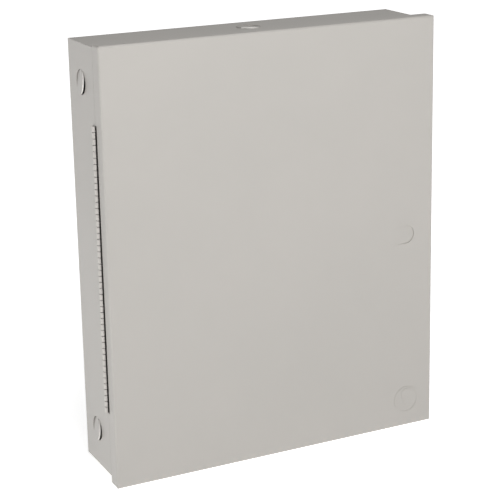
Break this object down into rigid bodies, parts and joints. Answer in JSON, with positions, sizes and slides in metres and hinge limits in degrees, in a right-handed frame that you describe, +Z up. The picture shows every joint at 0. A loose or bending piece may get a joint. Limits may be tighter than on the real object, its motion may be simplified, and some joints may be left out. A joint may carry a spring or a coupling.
{
  "type": "fire alarm control panel",
  "caption": "Wall-mounted fire alarm control panel: folded steel cabinet, piano-hinged blind door, control board with display, transformer and standby batteries inside.",
  "frame": {"origin": "centre of the four wall-fixing holes, on the outer face of the back sheet, which lies on the wall", "axes": "+X to the right seen from the front, -Y out of the front of the door, +Y into the wall, +Z up"},
  "size_m": [0.379, 0.0873, 0.457],
  "materials": {
    "cabinet_enamel": "satin baked enamel, warm light grey",
    "door_enamel": "satin baked enamel, warm light grey",
    "hinge_steel": "painted where it shows, plain steel behind",
    "zinc_plate": "bright zinc plate",
    "label_film": "printed film label",
    "brass": "plain turned brass",
    "solder_mask": "green solder mask over glass laminate",
    "terminal_plastic": "moulded green polyamide",
    "relay_plastic": "moulded blue case",
    "capacitor_sleeve": "shrunk blue sleeve",
    "raw_aluminium": "extruded, plain",
    "black_plastic": "moulded black",
    "tinned_clip": "tinned",
    "fuse_glass": "clear tube with plated caps",
    "natural_nylon": "natural nylon",
    "ribbon_pvc": "grey ribbed ribbon",
    "frame_abs": "fine-textured dark grey",
    "lcd_glass": "green reflective liquid-crystal cell",
    "red_lens": "diffused red epoxy",
    "amber_lens": "diffused amber epoxy",
    "green_lens": "diffused green epoxy",
    "button_grey": "moulded light grey",
    "button_red": "moulded red",
    "core_steel": "varnished laminations",
    "coil_tape": "yellow polyester tape",
    "clear_cover": "clear moulded cover",
    "black_pvc": "black insulation",
    "yellow_pvc": "yellow insulation",
    "green_pvc": "green insulation",
    "red_pvc": "red insulation",
    "battery_abs": "moulded dark grey case"
  },
  "bodies": {
    "cabinet": {"backbox": "cabinet_enamel", "weld_studs": "zinc_plate", "stud_nuts": "zinc_plate", "hinge_body_leaf": "hinge_steel", "hinge_pin": "zinc_plate", "standoffs": "brass", "main_board": "solder_mask", "board_screws": "zinc_plate", "terminal_blocks": "terminal_plastic", "terminal_screws": "zinc_plate", "relays": "relay_plastic", "capacitors": "capacitor_sleeve", "heat_sink": "raw_aluminium", "power_devices": "black_plastic", "fuse_holders": "tinned_clip", "fuses": "fuse_glass", "chips": "black_plastic", "pin_headers": "black_plastic", "sounder": "black_plastic", "plug_sockets": "natural_nylon", "ribbon_cable": "ribbon_pvc", "display_standoffs": "brass", "display_board": "solder_mask", "display_frame": "frame_abs", "display_screws": "zinc_plate", "lcd_module": "black_plastic", "lcd_glass": "lcd_glass", "alarm_leds": "red_lens", "trouble_leds": "amber_lens", "power_led": "green_lens", "switch_bodies": "black_plastic", "transformer_core": "core_steel", "transformer_coil": "coil_tape", "transformer_brackets": "zinc_plate", "mains_block": "black_plastic", "mains_screws": "brass", "mains_cover": "clear_cover", "primary_wires": "black_pvc", "secondary_wires": "yellow_pvc", "ground_wire": "green_pvc", "battery_left": "battery_abs", "battery_right": "battery_abs", "battery_tabs": "tinned_clip", "tab_boots": "red_pvc", "battery_lead_red": "red_pvc", "battery_lead_black": "black_pvc", "battery_jumper": "black_pvc"},
    "door": {"door": "door_enamel", "door_label": "label_film", "hinge_door_leaf": "hinge_steel"},
    "acknowledge": {"button_acknowledge": "button_grey"},
    "silence": {"button_silence": "button_grey"},
    "drill": {"button_drill": "button_grey"},
    "reset": {"button_reset": "button_red"}
  },
  "joints": [
    {"name": "door_hinge", "type": "hinge", "parent": "cabinet", "child": "door", "pos_m": [-0.1839, -0.0682, -0.0037], "axis": [0, 0, -1], "range_deg": [0, 170]},
    {"name": "acknowledge_press", "type": "slide", "parent": "cabinet", "child": "acknowledge", "axis": [0, 1, 0], "range_m": [0, 0.0015], "stiffness_N_per_m": 400, "springref_m": -0.0012},
    {"name": "silence_press", "type": "slide", "parent": "cabinet", "child": "silence", "axis": [0, 1, 0], "range_m": [0, 0.0015], "stiffness_N_per_m": 400, "springref_m": -0.0012},
    {"name": "drill_press", "type": "slide", "parent": "cabinet", "child": "drill", "axis": [0, 1, 0], "range_m": [0, 0.0015], "stiffness_N_per_m": 400, "springref_m": -0.0012},
    {"name": "reset_press", "type": "slide", "parent": "cabinet", "child": "reset", "axis": [0, 1, 0], "range_m": [0, 0.0015], "stiffness_N_per_m": 400, "springref_m": -0.0012}
  ]
}
